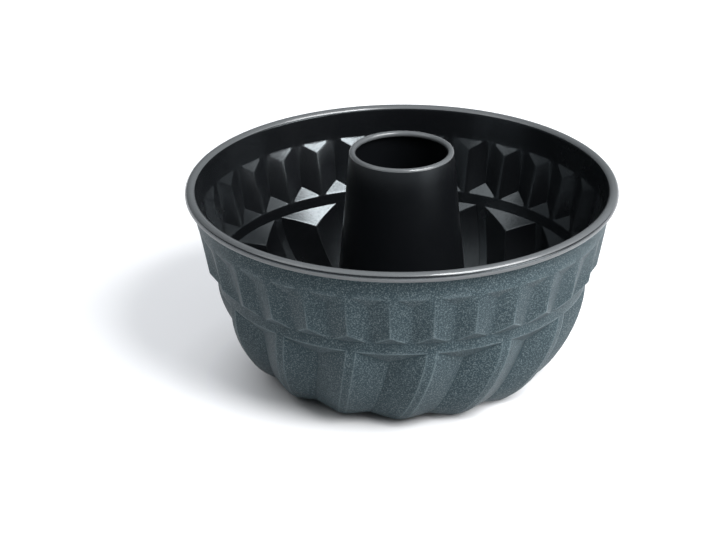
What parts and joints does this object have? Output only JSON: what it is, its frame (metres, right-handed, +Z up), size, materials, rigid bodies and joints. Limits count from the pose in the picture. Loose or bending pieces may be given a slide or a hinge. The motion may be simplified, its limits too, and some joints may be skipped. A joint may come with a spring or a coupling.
{
  "type": "fluted tube pan",
  "caption": "Round sheet-metal cake mould with short upper flutes, twisted lower flutes, a rolled rim and a tapered open centre tube.",
  "frame": {"origin": "on the pan's axis, on the plane that the crests of the lower flutes stand on", "axes": "+Z up along the axis of the tube; the picture looks along +Y, so -Y is its front"},
  "size_m": [0.22, 0.22, 0.1176],
  "materials": {
    "coated_shell": "fine speckled blue-grey coat outside, satin black non-stick coat inside",
    "coated_tube": "satin black non-stick coat",
    "plain_wire": "drawn steel wire"
  },
  "bodies": {
    "root": {"fluted_shell": "coated_shell", "centre_tube": "coated_tube", "rim_wire": "plain_wire"}
  },
  "joints": []
}
